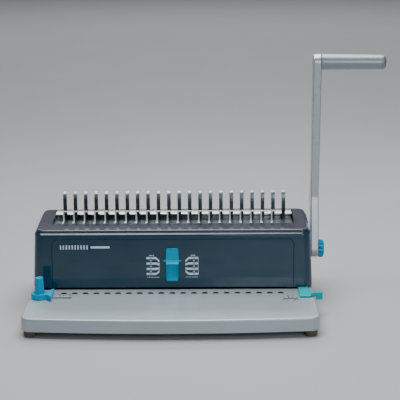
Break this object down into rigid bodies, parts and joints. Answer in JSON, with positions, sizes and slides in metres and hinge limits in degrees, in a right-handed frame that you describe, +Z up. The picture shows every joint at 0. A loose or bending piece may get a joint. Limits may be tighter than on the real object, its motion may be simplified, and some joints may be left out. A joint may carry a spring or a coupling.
{
  "type": "comb binding machine",
  "caption": "Manual comb binding machine: a cranked side handle pushes a row of punch pins down and draws hooks forward to open plastic combs on upright fingers.",
  "frame": {"origin": "middle of the whole object's footprint, handle included, on the table", "axes": "+X to the right along the row of punched holes, towards the handle; +Y to the back; +Z up"},
  "size_m": [0.4714, 0.247, 0.329],
  "materials": {
    "silver_paint": "satin silver-grey paint",
    "smoke_blue_gloss": "polished dark smoke blue",
    "grey_blue_plastic": "satin dark grey-blue",
    "teal_plastic": "moulded, semi-gloss",
    "teal_green_plastic": "moulded, semi-gloss",
    "handle_paint": "silver paint",
    "grip_plastic": "silver-painted plastic",
    "chrome": "plated and polished",
    "zinc_steel": "zinc plated",
    "bronze": "sintered bronze",
    "foot_rubber": "matt",
    "dark_plastic": "fine texture"
  },
  "bodies": {
    "frame": {"base_plate": "silver_paint", "base_screw_1": "zinc_steel", "base_screw_2": "zinc_steel", "base_screw_3": "zinc_steel", "base_screw_4": "zinc_steel", "bottom_cover": "zinc_steel", "comb_bed": "chrome", "comb_rake": "chrome", "die_plate": "zinc_steel", "die_spacer_left": "zinc_steel", "die_spacer_right": "zinc_steel", "foot_1": "foot_rubber", "foot_2": "foot_rubber", "foot_3": "foot_rubber", "foot_4": "foot_rubber", "front_cover": "smoke_blue_gloss", "guide_plate": "zinc_steel", "guide_post_left": "zinc_steel", "guide_post_right": "zinc_steel", "rear_cover": "grey_blue_plastic", "rear_screw_left": "zinc_steel", "rear_screw_right": "zinc_steel", "return_spring_left": "zinc_steel", "return_spring_right": "zinc_steel", "shaft_bush_left": "bronze", "shaft_bush_right": "bronze", "side_frame_left": "zinc_steel", "side_frame_right": "zinc_steel", "tie_bar": "zinc_steel", "top_cover": "grey_blue_plastic"},
    "press": {"punch_beam": "zinc_steel", "punch_pins": "zinc_steel", "punch_yoke_left": "zinc_steel", "punch_yoke_right": "zinc_steel"},
    "handle": {"main_shaft": "zinc_steel", "eccentric_left": "zinc_steel", "eccentric_right": "zinc_steel", "rocker_left": "zinc_steel", "rocker_right": "zinc_steel", "shaft_clip": "zinc_steel", "handle_arm": "handle_paint", "grip_rod": "zinc_steel", "handle_grip": "grip_plastic", "grip_end_cap": "grip_plastic"},
    "handle_knob": {"handle_knob": "teal_plastic"},
    "hook_slide": {"hook_plate": "chrome", "hook_bracket_left": "zinc_steel", "hook_bracket_right": "zinc_steel"},
    "selector": {"selector_button": "teal_plastic", "selector_plate": "zinc_steel"},
    "margin_control": {"margin_lever": "teal_green_plastic", "back_stop": "zinc_steel"},
    "side_guide": {"side_guide": "teal_plastic", "guide_bolt": "zinc_steel", "guide_washer": "zinc_steel"},
    "guide_knob": {"guide_knob": "teal_plastic"},
    "chip_tray": {"chip_tray": "dark_plastic"}
  },
  "joints": [
    {"name": "handle_turn", "type": "hinge", "parent": "frame", "child": "handle", "pos_m": [-0.0493, 0.0685, 0.061], "axis": [1, 0, 0], "range_deg": [0, 80], "stiffness_Nm_per_rad": 0.9, "springref_deg": -17.19},
    {"name": "press_travel", "type": "slide", "parent": "frame", "child": "press", "axis": [0, 0, -1], "range_m": [0, 0.0081], "stiffness_N_per_m": 800, "springref_m": -0.015, "deforming": ["return_spring_left", "return_spring_right"]},
    {"name": "hook_travel", "type": "slide", "parent": "frame", "child": "hook_slide", "axis": [0, -1, 0], "range_m": [0, 0.022]},
    {"name": "handle_knob_turn", "type": "hinge", "parent": "handle", "child": "handle_knob", "pos_m": [0.1496, 0.0685, 0.061], "axis": [1, 0, 0], "continuous": true},
    {"name": "selector_travel", "type": "slide", "parent": "frame", "child": "selector", "axis": [0, 0.0938, 0.9956], "range_m": [-0.009, 0]},
    {"name": "margin_travel", "type": "slide", "parent": "frame", "child": "margin_control", "axis": [0, 1, 0], "range_m": [0, 0.004]},
    {"name": "side_guide_travel", "type": "slide", "parent": "frame", "child": "side_guide", "axis": [1, 0, 0], "range_m": [0, 0.038]},
    {"name": "guide_knob_turn", "type": "hinge", "parent": "side_guide", "child": "guide_knob", "pos_m": [-0.2215, -0.0355, 0.0334], "axis": [0, 0, 1], "continuous": true},
    {"name": "chip_tray_travel", "type": "slide", "parent": "frame", "child": "chip_tray", "axis": [0, 1, 0], "range_m": [0, 0.1]}
  ],
  "couplings": [
    {"joint": "press_travel", "follows": "handle_turn", "m_per_rad": 0.0057296},
    {"joint": "hook_travel", "follows": "handle_turn", "m_per_rad": 0.015652}
  ]
}
